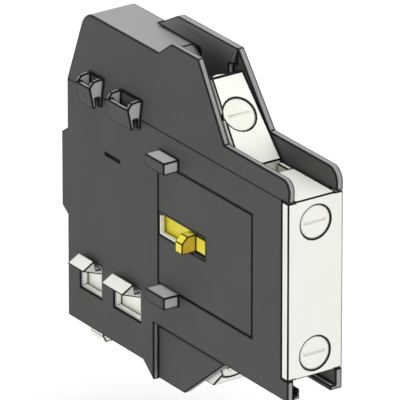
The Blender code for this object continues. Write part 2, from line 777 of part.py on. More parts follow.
def top_band_outline():
    """Outline the part of the rear and top wall that spans the whole width of the casing."""
    t = SHELL_WALL
    end = FAR_RIM_START - CLEARANCE
    return rounded([
        (0.0, CREASE_HEIGHT),
        (TOP_SETBACK, TOP_HEIGHT, TOP_RADIUS),
        (end, TOP_HEIGHT),
        (end, TOP_HEIGHT - t),
        (TOP_SETBACK + t, TOP_HEIGHT - t, TOP_RADIUS - t),
        (t, CREASE_HEIGHT),
    ])


def cover_relief_outline():
    """Outline where the outer cover is cut to its wall: all but its rim, its pit pad and its lower lip."""
    high = FAR_RIM_HEIGHT + OVERRUN
    pad_rear = TOP_END_DEPTH + TOP_END_CHAMFER + CLEARANCE
    pad_front = FRAME_BLOCK_REAR - CLEARANCE
    return [
        (-2 * OVERRUN, LOWEST),
        (LIP_REAR_DEPTH, LOWEST),
        (LIP_REAR_DEPTH, FLANGE_FOOT + LIP_THICKNESS),
        (FRONT_DEPTH + OVERRUN, FLANGE_FOOT + LIP_THICKNESS),
        (FRONT_DEPTH + OVERRUN, high),
        (FAR_RIM_END, high),
        (FAR_RIM_END, TOP_HEIGHT + CLEARANCE),
        (pad_front, TOP_HEIGHT + CLEARANCE),
        (pad_front, CREASE_HEIGHT + CLEARANCE),
        (pad_rear, CREASE_HEIGHT + CLEARANCE),
        (pad_rear, TOP_HEIGHT + CLEARANCE),
        (FAR_RIM_START - OVERRUN, TOP_HEIGHT + CLEARANCE),
        (-2 * OVERRUN, TOP_HEIGHT + CLEARANCE),
    ]


def outer_cover():
    """Make the dark outer side plate with its thickened rim, ear, pit pad and lower lip."""
    near = FAR_FACE - FAR_RIM_FOOT
    cover = side_plate("outer_cover", far_wall_outline(), near, BODY_WIDTH)
    cut(cover, side_plate("relief", cover_relief_outline(), near - OVERRUN, FAR_FACE))
    taper = front_plate(
        "taper",
        [
            (near - OVERRUN, TOP_HEIGHT + CLEARANCE),
            (near, TOP_HEIGHT + CLEARANCE),
            (FAR_FACE, FAR_RIM_HEIGHT + CLEARANCE),
            (FAR_FACE, FAR_RIM_HEIGHT + OVERRUN),
            (near - OVERRUN, FAR_RIM_HEIGHT + OVERRUN),
        ],
        -OVERRUN,
        FRONT_DEPTH,
    )
    t = SHELL_WALL + CLEARANCE
    notch_outline = rounded([
        (-OVERRUN, CREASE_HEIGHT - CLEARANCE),
        (-OVERRUN, TOP_HEIGHT + OVERRUN),
        (FAR_RIM_START, TOP_HEIGHT + OVERRUN),
        (FAR_RIM_START, TOP_HEIGHT - t),
        (TOP_SETBACK + t, TOP_HEIGHT - t, TOP_RADIUS - SHELL_WALL),
        (t, CREASE_HEIGHT - CLEARANCE),
    ])
    notch = side_plate("notch", notch_outline, near - OVERRUN, BODY_WIDTH + OVERRUN)
    slope = (EAR_REAR_DEPTH - FAR_RIM_END) / (FAR_RIM_HEIGHT - FAR_EAR_HEIGHT)
    corners = []
    for height in (FAR_RIM_HEIGHT + OVERRUN, TOP_HEIGHT - OVERRUN):
        edge = FAR_RIM_END + slope * (FAR_RIM_HEIGHT - height)
        corners += [
            (FAR_FACE, edge, height),
            (FAR_FACE - 2 * FAR_RIM_FOOT, edge - 2 * FAR_RIM_FACET, height),
            (FAR_FACE - 2 * FAR_RIM_FOOT, edge + FAR_RIM_FACET, height),
            (FAR_FACE, edge + FAR_RIM_FACET, height),
        ]
    cut(cover, taper, notch, hull("facet", corners))
    depth = LATCH_WINDOW_REAR[1] + LATCH_WINDOW_LENGTH[1] / 2
    height = (LATCH_WINDOW_LOW + LATCH_WINDOW_HIGH) / 2
    post = rod(
        "post",
        spot(LATCH_NEAR + CLEARANCE + LATCH_PLATE, depth, height),
        spot(FAR_FACE + COVER_WALL / 2, depth, height),
        HOOK_CHEEK,
        HOOK_CHEEK * 1.4,
        12,
    )
    join(cover, post)
    return finish_piece(cover, "outer_cover", DARK)


def guide_plate():
    """Make the inset panel of the mating side, with the rails that the carrier slides between."""
    outline = [
        (PANEL_REAR, PANEL_LOW),
        (PANEL_FRONT, PANEL_LOW),
        (PANEL_FRONT, PANEL_HIGH),
        (PANEL_REAR, PANEL_HIGH),
        (PANEL_REAR, WINDOW_HIGH),
        (WINDOW_FRONT, WINDOW_HIGH),
        (WINDOW_FRONT, WINDOW_LOW),
        (PANEL_REAR, WINDOW_LOW),
    ]
    panel = side_plate("guide_plate", outline, 0.0, CORE_NEAR + FLANGE_THICKNESS / 2)
    reach = PANEL_FLANGE
    gap = CARRIER_PLATE_HEIGHT / 2 + CLEARANCE
    flange_outline = [
        (PANEL_REAR - reach, PANEL_LOW - reach),
        (PANEL_FRONT + reach, PANEL_LOW - reach),
        (PANEL_FRONT + reach, PANEL_HIGH + reach),
        (PANEL_REAR - reach, PANEL_HIGH + reach),
        (PANEL_REAR - reach, CARRIER_MID + gap),
        (CARRIER_FRONT + CLEARANCE, CARRIER_MID + gap),
        (CARRIER_FRONT + CLEARANCE, CARRIER_MID - gap),
        (PANEL_REAR - reach, CARRIER_MID - gap),
    ]
    flange = side_plate("flange", flange_outline, CORE_NEAR, CORE_NEAR + FLANGE_THICKNESS)
    join(panel, flange)
    for side in (-1, 1):
        low = CARRIER_MID + side * (gap + HOOK_CHEEK / 2) - HOOK_CHEEK / 2
        rail = block(
            "rail",
            (CORE_NEAR + FLANGE_THICKNESS / 2, CORE_NEAR + CLEARANCE + CARRIER_PLATE),
            (PANEL_REAR, CARRIER_FRONT),
            (low, low + HOOK_CHEEK),
        )
        join(panel, rail)
    relief = block(
        "collar_relief",
        (CORE_NEAR - CLEARANCE, CORE_NEAR + CARRIER_PLATE + OVERRUN),
        (PANEL_REAR - 2 * reach, CARRIER_FRONT + CLEARANCE),
        (CARRIER_MID - gap, CARRIER_MID + gap),
    )
    cut(panel, relief)
    return finish_piece(panel, "guide_plate", DARK)


def actuator_collar():
    """Make the pale lining of the actuator window, which snaps into the guide plate."""
    seam = PANEL_SEAM
    wall = COLLAR_WALL
    outer = [
        (PANEL_REAR + seam, WINDOW_LOW + seam),
        (WINDOW_FRONT - seam, WINDOW_LOW + seam),
        (WINDOW_FRONT - seam, WINDOW_HIGH - seam),
        (PANEL_REAR + seam, WINDOW_HIGH - seam),
    ]
    collar = side_plate("actuator_collar", outer, COLLAR_RECESS, CORE_NEAR - 2 * CLEARANCE)
    hole = block(
        "hole",
        (-OVERRUN, CORE_NEAR + OVERRUN),
        (PANEL_REAR + seam + wall, WINDOW_FRONT - seam - wall),
        (WINDOW_LOW + seam + wall, WINDOW_HIGH - seam - wall),
    )
    cut(collar, hole)
    return finish_piece(collar, "actuator_collar", WHITE)


def latch_guide():
    """Make the thin pale sheet that the latch slides on, with a collar through each latch window."""
    near = NEAR_WALL / 2 + CLEARANCE
    depth, height = guide_limits(PANEL_SEAM)
    sheet = block("latch_guide", (near, near + GUIDE_SHEET), depth, height)
    for index in range(2):
        depth, height = window_limits(index, PANEL_SEAM)
        join(sheet, block("collar", (COLLAR_RECESS, near + GUIDE_SHEET / 2), depth, height))
    for index in range(2):
        depth, height = window_limits(index, PANEL_SEAM + COLLAR_WALL)
        cut(sheet, block("hole", (-OVERRUN, NEAR_WALL + OVERRUN), depth, height))
    return finish_piece(sheet, "latch_guide", WHITE)


def latch_slider():
    """Make the white latch with its two hooks, release tab and spring shelf."""
    near = LATCH_NEAR
    far = near + LATCH_PLATE
    depth, _ = guide_limits(PANEL_SEAM)
    latch = block("latch_slider", (near, far), depth, (LATCH_LOW, LATCH_HIGH))
    outline = [
        (-LATCH_HOOK_REACH, LATCH_HOOK_TIP),
        (near + LATCH_PLATE / 2, LATCH_STEM_LOW),
        (near + LATCH_PLATE / 2, LATCH_STEM_HIGH),
        (-NEAR_WALL * 0.4, LATCH_STEM_HIGH),
        (-NEAR_WALL * 0.7, LATCH_HOOK_BARB),
    ]
    for index in range(2):
        middle = LATCH_WINDOW_REAR[index] + LATCH_WINDOW_LENGTH[index] / 2
        half = LATCH_HOOK_LENGTH[index] / 2
        join(latch, front_plate("hook", outline, middle - half, middle + half))
    tab_end = near + TAB_ACROSS
    tab = front_plate(
        "tab",
        [
            (near, LATCH_LOW + LATCH_PLATE),
            (near, -TAB_DROP + LATCH_PLATE),
            (near + LATCH_PLATE / 2, -TAB_DROP),
            (tab_end - LATCH_PLATE / 2, -TAB_DROP),
            (tab_end, -TAB_DROP + LATCH_PLATE),
            (tab_end, LATCH_LOW + LATCH_PLATE),
        ],
        TAB_REAR,
        TAB_REAR + TAB_LENGTH,
    )
    shelf = block(
        "shelf",
        (far - LATCH_PLATE / 2, latch_spring_across() + LATCH_SPRING_RADIUS),
        (LATCH_SPRING_DEPTH - LATCH_SPRING_RADIUS - LATCH_WIRE,
         LATCH_SPRING_DEPTH + LATCH_SPRING_RADIUS + LATCH_WIRE),
        (LATCH_HIGH - LATCH_PLATE, LATCH_HIGH),
    )
    join(latch, tab, shelf)
    return finish_piece(latch, "latch_slider", WHITE, spot(near, TAB_REAR, LATCH_LOW))


def pocket_limits(index):
    """Give the depth limits of a bridge's pocket in the carrier."""
    rear = BRIDGE_DEPTH[index] - CLEARANCE
    return rear, rear + POCKET_LENGTH


def contact_carrier():
    """Make the yellow carrier: slide plate, nub and the bar with a pocket for each bridge."""
    near = CORE_NEAR
    far = near + CARRIER_PLATE
    carrier = block(
        "contact_carrier",
        (near, far),
        (CARRIER_REAR, CARRIER_FRONT),
        (CARRIER_MID - CARRIER_PLATE_HEIGHT / 2, CARRIER_MID + CARRIER_PLATE_HEIGHT / 2),
    )
    bar = block(
        "bar",
        (near + FLANGE_THICKNESS + CLEARANCE, CENTRE + BAR_HALF_WIDTH),
        (BAR_REAR, BAR_FRONT),
        (CARRIER_MID - BAR_HEIGHT / 2, CARRIER_MID + BAR_HEIGHT / 2),
    )
    nub = front_plate(
        "nub",
        [
            (-NUB_REACH, NUB_LOW),
            (near + CARRIER_PLATE / 2, NUB_LOW),
            (near + CARRIER_PLATE / 2, NUB_HIGH),
            (-NUB_REACH + NUB_CHAMFER, NUB_HIGH),
            (-NUB_REACH, NUB_HIGH - NUB_CHAMFER),
        ],
        NUB_REAR,
        NUB_REAR + NUB_LENGTH,
    )
    pad = block(
        "pad",
        (NUB_PAD_DEEP, near + CARRIER_PLATE / 2),
        (NUB_REAR + NUB_LENGTH / 2, NUB_REAR + NUB_LENGTH + NUB_PAD_LENGTH),
        (NUB_LOW + STEP_IN, NUB_HIGH - STEP_IN),
    )
    join(carrier, bar, nub, pad)
    for index in range(2):
        half = BRIDGE_WIDTH / 2 + CLEARANCE
        pocket = block(
            "pocket",
            (CENTRE - half, CENTRE + half),
            pocket_limits(index),
            (CARRIER_MID - BAR_HEIGHT, CARRIER_MID + BAR_HEIGHT),
        )
        cut(carrier, pocket)
    return finish_piece(carrier, "contact_carrier", YELLOW, spot(near, NUB_REAR, CARRIER_MID))


def contact_bridge(index, name):
    """Make a contact bridge with a button near each end."""
    depth = BRIDGE_DEPTH[index]
    bridge = block(
        name,
        (CENTRE - BRIDGE_WIDTH / 2, CENTRE + BRIDGE_WIDTH / 2),
        (depth, depth + BRIDGE_THICKNESS),
        (CARRIER_MID - BRIDGE_HALF_SPAN, CARRIER_MID + BRIDGE_HALF_SPAN),
    )
    for side in (-1, 1):
        height = CARRIER_MID + side * (BRIDGE_HALF_SPAN - BUTTON_RADIUS)
        button = rod(
            "button",
            spot(CENTRE, depth + BRIDGE_THICKNESS / 2, height),
            spot(CENTRE, depth - BUTTON_HEIGHT, height),
            BUTTON_RADIUS,
            BUTTON_RADIUS * 0.8,
            16,
        )
        join(bridge, button)
    return finish_piece(bridge, name, BRASS, spot(CENTRE, depth, CARRIER_MID))


def contact_spring(index, name):
    """Make the spring between a bridge and the front of its pocket."""
    start = BRIDGE_DEPTH[index] + BRIDGE_THICKNESS + CLEARANCE
    end = pocket_limits(index)[1] - CLEARANCE
    spring = coil(
        name, spot(CENTRE, start, CARRIER_MID), spot(CENTRE, end, CARRIER_MID),
        CONTACT_RADIUS, CONTACT_WIRE, CONTACT_TURNS)
    return finish_piece(spring, name, SPRING, smooth=True)


def return_spring():
    """Make the spring that pushes the carrier forward."""
    spring = coil(
        "return_spring", spot(CENTRE, RETURN_SEAT + CLEARANCE, CARRIER_MID),
        spot(CENTRE, BAR_REAR - CLEARANCE, CARRIER_MID), RETURN_RADIUS, RETURN_WIRE, RETURN_TURNS)
    return finish_piece(spring, "return_spring", SPRING, smooth=True)


def latch_spring():
    """Make the spring that pushes the latch up."""
    across = latch_spring_across()
    spring = coil(
        "latch_spring", spot(across, LATCH_SPRING_DEPTH, BOSS_TOP + CLEARANCE),
        spot(across, LATCH_SPRING_DEPTH, LATCH_HIGH - LATCH_PLATE - CLEARANCE),
        LATCH_SPRING_RADIUS, LATCH_WIRE, LATCH_TURNS)
    return finish_piece(spring, "latch_spring", SPRING, smooth=True)


class Terminal:
    """One screw terminal: where its screw enters, which way it goes in and which side it is on."""

    def __init__(self, name, rear, upper):
        self.name = name
        self.rear = rear
        self.upper = upper
        side = 1 if upper else -1
        if rear:
            top = Vector((SLOPE_TOP_DEPTH, TOP_HEIGHT))
            run = (Vector((SLOPE_FOOT_DEPTH, SLOPE_FOOT_HEIGHT)) - top).normalized()
            origin = top + run * REAR_SCREW_ALONG
            height = origin.y if upper else 2 * TERMINAL_MIDDLE - origin.y
            self.origin = Vector((origin.x, height))
            self.along = Vector((run.x, side * run.y))
            self.inward = Vector((run.y, -side * run.x))
            well_floor = HEAD_RECESS + HEAD_THICKNESS + CLAMP_TRAVEL + CLEARANCE
            self.cavity = well_floor + NECK_WALL
        else:
            self.origin = Vector((FRONT_DEPTH, FRONT_SCREW_HEIGHT[0 if upper else 1]))
            self.along = Vector((0.0, -side))
            self.inward = Vector((-1.0, 0.0))
            self.cavity = FRONT_DEPTH - FRONT_BLOCK_REAR - CLAMP_THICKNESS - 4 * CLEARANCE
        self.clamp = self.cavity + CLEARANCE
        self.strip = self.clamp + CLAMP_THICKNESS + CLAMP_TRAVEL + CLEARANCE
        self.tip = self.strip + STRIP_THICKNESS + SHANK_END

    def at(self, inward, along=0.0):
        """Give the (depth, height) place a way in from the face and a way along it."""
        return tuple(self.origin + self.inward * inward + self.along * along)

    def world(self, inward):
        """Give the world point on the screw's axis a way in from the face."""
        return spot(CENTRE, *self.at(inward))

    def slab(self, name, inward, along, half_width):
        """Make a block square to the screw."""
        outline = [
            self.at(inward[0], along[0]),
            self.at(inward[1], along[0]),
            self.at(inward[1], along[1]),
            self.at(inward[0], along[1]),
        ]
        return side_plate(name, outline, CENTRE - half_width, CENTRE + half_width)

    def bore(self, name, inward, radius):
        """Make a round bar on the screw's axis."""
        return rod(name, self.world(inward[0]), self.world(inward[1]), radius)

    def cuts(self):
        """Make the well, neck, clamp space and screw-end hole to cut from a moulding."""
        well_floor = HEAD_RECESS + HEAD_THICKNESS + CLAMP_TRAVEL + CLEARANCE
        half = CLAMP_SIZE / 2 + CLEARANCE
        cavity_end = self.strip if self.rear else self.cavity + 2 * CLAMP_SIZE
        return [
            self.bore("well", (-OVERRUN, well_floor), HEAD_RADIUS + CLEARANCE / 2),
            self.bore("neck", (0.0, self.tip + CLAMP_TRAVEL + CLEARANCE), SHANK_RADIUS + CLEARANCE),
            self.slab("clamp_space", (self.cavity, cavity_end), (-half, half), half),
        ]

    def screw(self):
        """Make the screw: slotted pan head and plain shank."""
        name = self.name + "_screw"
        face = HEAD_RECESS
        screw = self.bore(name, (face, face + HEAD_THICKNESS), HEAD_RADIUS)
        join(screw, self.bore("shank", (face + HEAD_THICKNESS / 2, self.tip), SHANK_RADIUS))
        slot = self.slab(
            "slot", (face - OVERRUN, face + SLOT_DEPTH), (-SLOT_WIDTH / 2, SLOT_WIDTH / 2),
            HEAD_RADIUS * 0.75)
        cut(screw, slot)
        return finish_piece(screw, name, ZINC, self.world(face), smooth=True)

    def clamp_plate(self):
        """Make the square plate that presses the wire on the strip."""
        name = self.name + "_clamp"
        half = CLAMP_SIZE / 2
        clamp = self.slab(name, (self.clamp, self.clamp + CLAMP_THICKNESS), (-half, half), half)
        cut(clamp, self.bore("hole", (0.0, self.tip), SHANK_RADIUS + CLEARANCE / 2))
        return finish_piece(clamp, name, ZINC, self.world(self.clamp))

    def strip_path(self):
        """Give the bends of the contact strip from the clamp to the fixed contact."""
        middle = self.strip + STRIP_THICKNESS / 2
        run = REAR_RUN_HEIGHT if self.rear else FRONT_RUN_HEIGHT
        side = 1 if self.upper else -1
        height = run if self.upper else 2 * TERMINAL_MIDDLE - run
        button = BRIDGE_DEPTH[0 if self.rear else 1] - 2 * BUTTON_HEIGHT - CARRIER_TRAVEL - CLEARANCE
        limb = button - STRIP_THICKNESS / 2
        start = self.at(middle, -CLAMP_SIZE / 2)
        bend = self.at(middle, CLAMP_SIZE / 2)
        tip = CARRIER_MID + side * CONTACT_OVERLAP
        return [start, bend, (bend[0], height), (limb, height), (limb, tip)]

    def contact_strip(self):
        """Make the bent strip with its contact button."""
        name = self.name + "_strip"
        half = STRIP_WIDTH / 2
        path = self.strip_path()
        strip = side_plate(name, ribbon(path, STRIP_THICKNESS), CENTRE - half, CENTRE + half)
        side = 1 if self.upper else -1
        limb, tip = path[-1]
        height = CARRIER_MID + side * (BRIDGE_HALF_SPAN - BUTTON_RADIUS)
        button = rod(
            "button", spot(CENTRE, limb, height), spot(CENTRE, limb + STRIP_THICKNESS / 2 + BUTTON_HEIGHT, height),
            BUTTON_RADIUS, BUTTON_RADIUS * 0.8, 16)
        join(strip, button)
        cut(strip, self.bore("thread", (self.cavity, self.tip), SHANK_RADIUS + CLEARANCE / 2))
        return finish_piece(strip, name, BRASS)


def block_top_depth():
    """Give the depth where a sloping terminal face meets the top of its block."""
    share = (TOP_HEIGHT - FRAME_BLOCK_TOP) / (TOP_HEIGHT - SLOPE_FOOT_HEIGHT)
    return SLOPE_TOP_DEPTH + SLOPE_RUN * share


def frame_outline():
    """Outline the inner frame: both sloping terminal blocks and the web between them."""
    edge = block_top_depth()
    upper = [
        (FRAME_BLOCK_REAR, (FRAME_BLOCK_TOP + SLOPE_FOOT_HEIGHT) / 2),
        (edge - FRAME_STRIP, FRAME_BLOCK_TOP),
        (edge, FRAME_BLOCK_TOP),
        (SLOPE_FOOT_DEPTH, SLOPE_FOOT_HEIGHT),
    ]
    return upper + flipped(upper, False)[::-1]


def terminal_frame(terminals):
    """Make the cream inner frame that carries the rear terminals and holds the contact strips."""
    web_near = INNER_SIDE - FRAME_WEB
    low = 2 * TERMINAL_MIDDLE - FRAME_BLOCK_LOW
    deep = 2 * TERMINAL_MIDDLE - TOP_HEIGHT - OVERRUN
    high = TOP_HEIGHT + OVERRUN
    span = (FRAME_BLOCK_REAR - OVERRUN, SLOPE_FOOT_DEPTH + OVERRUN)
    frame = side_plate("terminal_frame", frame_outline(), CORE_NEAR, INNER_SIDE)
    lean = front_plate(
        "lean",
        [(0.0, CREASE_HEIGHT), (CORE_NEAR, CREASE_HEIGHT), (CORE_NEAR + lean_at(high), high), (0.0, high)],
        *span,
    )
    middle = block("middle", (0.0, web_near), span, (low, FRAME_BLOCK_LOW))
    skirt_side = block("skirt_side", (0.0, 2 * NEAR_WALL + CLEARANCE), span, (deep, low + OVERRUN))
    foot = block("foot", (0.0, BODY_WIDTH), span, (deep, FRAME_BLOCK_FOOT))
    cut(frame, lean, middle, skirt_side, foot)
    edge = block_top_depth()
    near_edge = CORE_NEAR + lean_at(FRAME_BLOCK_TOP + FRAME_TOP_RISE)
    lower = FRAME_BLOCK_TOP - FRAME_TOP_RISE
    ridge = hull(
        "ridge",
        [
            (near_edge, edge - STEP_IN, FRAME_BLOCK_TOP),
            (near_edge, edge - FRAME_STRIP + STEP_IN, FRAME_BLOCK_TOP + FRAME_TOP_RISE),
            (near_edge, edge - FRAME_STRIP + STEP_IN, lower),
            (near_edge, edge - STEP_IN, lower),
            (INNER_SIDE - STEP_IN, edge - STEP_IN, FRAME_BLOCK_TOP - STEP_IN),
            (INNER_SIDE - STEP_IN, edge - FRAME_STRIP + STEP_IN, FRAME_BLOCK_TOP - STEP_IN),
            (INNER_SIDE - STEP_IN, edge - FRAME_STRIP + STEP_IN, lower),
            (INNER_SIDE - STEP_IN, edge - STEP_IN, lower),
        ],
    )
    join(frame, ridge)
    for terminal in terminals:
        if not terminal.rear:
            continue
        runs = sorted(
            height if terminal.upper else 2 * TERMINAL_MIDDLE - height
            for height in (FRONT_RUN_HEIGHT - STRIP_THICKNESS, REAR_RUN_HEIGHT + STRIP_THICKNESS))
        comb = block(
            "comb",
            (CENTRE + STRIP_WIDTH / 2 + CLEARANCE, web_near + FRAME_WEB / 2),
            (FRAME_BLOCK_REAR + STEP_IN, SLOPE_FOOT_DEPTH - STEP_IN),
            tuple(runs),
        )
        join(frame, comb)
        cut(frame, *terminal.cuts())
        side = 1 if terminal.upper else -1
        path = terminal.strip_path()
        start = tuple(Vector(path[0]) - terminal.along * OVERRUN / 2)
        slot_path = [start, path[1], (path[1][0], path[2][1] + side * STRIP_THICKNESS)]
        half = STRIP_WIDTH / 2 + CLEARANCE
        slot = side_plate(
            "slot", ribbon(slot_path, STRIP_THICKNESS + 2 * CLEARANCE), CENTRE - half, CENTRE + half)
        half = CLAMP_SIZE / 2 + CLEARANCE
        mouth = terminal.slab(
            "mouth", (terminal.clamp + CLAMP_THICKNESS, terminal.strip - STEP_IN), (-3 * CLAMP_SIZE, 0.0),
            half - STEP_IN)
        cut(frame, slot, mouth)
    return finish_piece(frame, "terminal_frame", CREAM)


def front_cover(terminals):
    """Make the cream front cover with its two screw wells and the strips that wrap onto the sides."""
    cover = block(
        "front_cover",
        (CORE_NEAR, INNER_SIDE),
        (FRONT_BLOCK_REAR, FRONT_DEPTH),
        (COVER_FOOT, CREASE_HEIGHT),
    )
    flange = block(
        "flange",
        (0.0, BODY_WIDTH),
        (CUT_BACK + CLEARANCE / 2, FRONT_DEPTH),
        (COVER_FOOT + CLEARANCE / 2, CREASE_HEIGHT - CLEARANCE / 2),
    )
    tongue = block(
        "tongue",
        (INNER_SIDE - FRAME_WEB, INNER_SIDE),
        (SLOPE_FOOT_DEPTH + CLEARANCE, FRONT_BLOCK_REAR + SHELL_WALL),
        (FRONT_TONGUE_LOW, CREASE_HEIGHT - STEP_IN),
    )
    join(cover, flange, tongue)
    wall = SHELL_WALL
    core = block(
        "core",
        (CORE_NEAR + FLANGE_THICKNESS + wall, INNER_SIDE - wall),
        (FRONT_BLOCK_REAR - OVERRUN, FRONT_DEPTH - 2 * wall),
        (FRONT_SCREW_HEIGHT[1] + CLAMP_SIZE, FRONT_SCREW_HEIGHT[0] - CLAMP_SIZE),
    )
    reach = PANEL_FLANGE + CLEARANCE
    relief = block(
        "panel_relief",
        (-OVERRUN + CORE_NEAR, CORE_NEAR + FLANGE_THICKNESS + CLEARANCE),
        (FRONT_BLOCK_REAR - OVERRUN, PANEL_FRONT + reach),
        (PANEL_LOW - reach, PANEL_HIGH + reach),
    )
    cut(cover, core, relief)
    for terminal in terminals:
        if not terminal.rear:
            cut(cover, *terminal.cuts())
    return finish_piece(cover, "front_cover", CREAM)


clear_scene()
PIECES = new_collection("auxiliary_contact_block")
CUTTERS = new_collection("cutters")

TERMINALS = [
    Terminal("rear_upper", True, True),
    Terminal("rear_lower", True, False),
    Terminal("front_upper", False, True),
    Terminal("front_lower", False, False),
]

main_housing()
outer_cover()
guide_plate()
actuator_collar()
latch_guide()
latch_slider()
latch_spring()
contact_carrier()
return_spring()
for bridge_index, pole in enumerate(("rear", "front")):
    contact_bridge(bridge_index, pole + "_bridge")
    contact_spring(bridge_index, pole + "_contact_spring")
terminal_frame(TERMINALS)
front_cover(TERMINALS)
for each_terminal in TERMINALS:
    each_terminal.screw()
    each_terminal.clamp_plate()
    each_terminal.contact_strip()
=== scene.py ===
"""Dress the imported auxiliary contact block: finishes, rounded edges, springs and studio."""

import json
import logging
import math
from dataclasses import dataclass
from enum import Enum
from typing import Any

import bpy
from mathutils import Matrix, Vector

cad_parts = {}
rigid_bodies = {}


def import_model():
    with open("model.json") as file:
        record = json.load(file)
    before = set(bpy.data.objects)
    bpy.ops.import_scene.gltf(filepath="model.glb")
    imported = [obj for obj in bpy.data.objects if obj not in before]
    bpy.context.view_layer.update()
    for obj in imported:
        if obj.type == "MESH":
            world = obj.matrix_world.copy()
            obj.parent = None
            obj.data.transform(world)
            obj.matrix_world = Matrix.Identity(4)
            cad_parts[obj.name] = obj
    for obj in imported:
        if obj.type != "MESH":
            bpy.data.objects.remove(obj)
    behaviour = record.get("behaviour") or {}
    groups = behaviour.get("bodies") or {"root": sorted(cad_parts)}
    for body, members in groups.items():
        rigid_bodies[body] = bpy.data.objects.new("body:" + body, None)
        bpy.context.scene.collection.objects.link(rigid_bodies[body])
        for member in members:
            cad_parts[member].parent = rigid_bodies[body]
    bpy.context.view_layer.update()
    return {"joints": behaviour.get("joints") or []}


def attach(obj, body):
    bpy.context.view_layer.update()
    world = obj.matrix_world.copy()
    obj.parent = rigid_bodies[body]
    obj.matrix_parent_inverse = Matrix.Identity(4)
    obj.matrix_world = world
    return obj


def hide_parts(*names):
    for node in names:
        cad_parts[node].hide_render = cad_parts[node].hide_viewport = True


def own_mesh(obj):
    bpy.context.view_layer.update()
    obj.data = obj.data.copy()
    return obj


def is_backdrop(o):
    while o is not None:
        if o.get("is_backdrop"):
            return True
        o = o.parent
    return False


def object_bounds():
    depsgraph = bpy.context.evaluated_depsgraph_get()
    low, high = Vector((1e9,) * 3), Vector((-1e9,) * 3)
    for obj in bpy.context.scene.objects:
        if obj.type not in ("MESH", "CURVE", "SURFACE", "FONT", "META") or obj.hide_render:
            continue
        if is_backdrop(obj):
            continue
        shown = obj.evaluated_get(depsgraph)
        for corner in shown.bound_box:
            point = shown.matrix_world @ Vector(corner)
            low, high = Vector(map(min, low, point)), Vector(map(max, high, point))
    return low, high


logging.basicConfig(level=logging.INFO, format="%(name)s: %(message)s")
LOG = logging.getLogger("contact_block")

Colour = tuple[float, float, float]
Band = tuple[float, float]

MILLIMETRE = 0.001
INK = (0.004, 0.004, 0.004)
WHITE = (1.0, 1.0, 1.0, 1.0)
FLOOR_WHITE = (0.99, 0.99, 0.99, 1.0)

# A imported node's faces are all loose, and corners nearer to each other than this are joined
JOIN_GAP = 0.06 * MILLIMETRE

# Bends between two faces in degrees: merged below the first, shaded as one round surface below
# the second, and rounded off above the third
FLAT_BEND = 2.0
ROUND_BEND = 20.0
SHARP_BEND = 35.0
ROUND_SEGMENTS = 2
DARK_SLOT = 1

# The moulded surface: its broad mottling, its fine grain, the shade painted into its creases
# and its edge lines
MOTTLE_SCALE = 90.0
MOTTLE_DETAIL = 4.0
MOTTLE_RAMP = (0.3, 0.7)
GRAIN_DETAIL = 3.0
GRAIN_STRENGTH = 0.6
POLISH_SPREAD = 0.06
CREASE_SHADE_SAMPLES = 8
CREASE_SHADE_REACH = 0.9 * MILLIMETRE
LINE_SAMPLES = 12

# Each band holds the value where a share is nothing and the value where it is whole
EDGE_BAND = (0.9996, 0.995)
END_FACE_BAND = (0.92, 0.70)
STANDING_OUT_BAND = (-0.10 * MILLIMETRE, -0.30 * MILLIMETRE)
NEAR_SIDE_BAND = (-0.90, -0.95)
UPWARD_BAND = (0.10, 0.35)
FORWARD_BAND = (-0.80, -0.95)
SIDE_LINE_BAND = (0.6, 0.4)
LINING_BLUR = 0.05 * MILLIMETRE


class Edges(Enum):
    """How the rounded edges of a part are finished."""

    OWN = "own"
    DARK = "dark"


